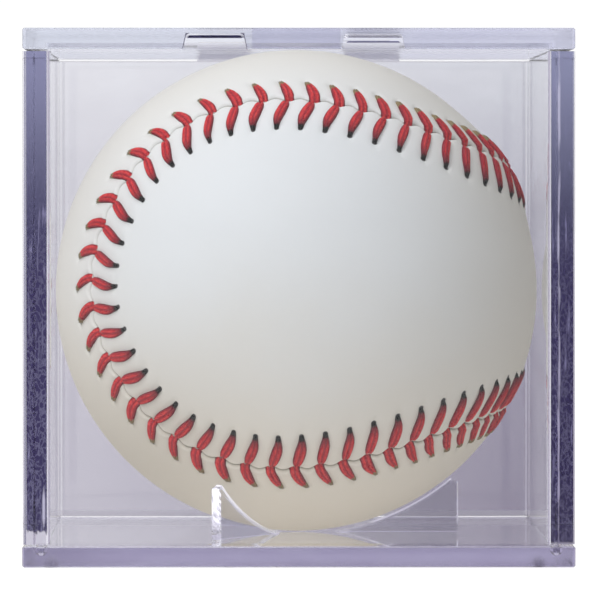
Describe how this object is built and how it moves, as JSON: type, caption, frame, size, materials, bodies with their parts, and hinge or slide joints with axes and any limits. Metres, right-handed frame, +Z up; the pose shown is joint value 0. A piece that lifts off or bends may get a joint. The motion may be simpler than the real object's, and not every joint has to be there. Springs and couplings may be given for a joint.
{
  "type": "baseball display cube",
  "caption": "Clear plastic display cube with a lift-off lid and a finned cradle inside, holding a stitched leather baseball.",
  "frame": {"origin": "middle of the base's underside, on the surface that the cube stands on", "axes": "+Z up through the lid, front towards -Y, +X to the right when the cube is seen from the front"},
  "size_m": [0.0826, 0.0826, 0.0806],
  "materials": {
    "clear_plastic": "clear polystyrene, polished, with a faint lavender tint and dark edges",
    "ball_leather": "smooth white leather, pulled in along the seam",
    "red_thread": "waxed red thread, two strands side by side",
    "wound_yarn": "wound yarn over a pill, hidden under the covers"
  },
  "bodies": {
    "case": {"case_base": "clear_plastic", "case_sleeve": "clear_plastic"},
    "ball": {"ball_core": "wound_yarn", "ball_cover_a": "ball_leather", "ball_cover_b": "ball_leather", "ball_stitching": "red_thread"},
    "lid": {"case_lid": "clear_plastic"}
  },
  "joints": [
    {"name": "ball_lift", "type": "slide", "parent": "case", "child": "ball", "axis": [0, 0, 1], "range_m": [0, 0.085]},
    {"name": "lid_lift", "type": "slide", "parent": "ball", "child": "lid", "axis": [0, 0, 1], "range_m": [0, 0.06]}
  ]
}
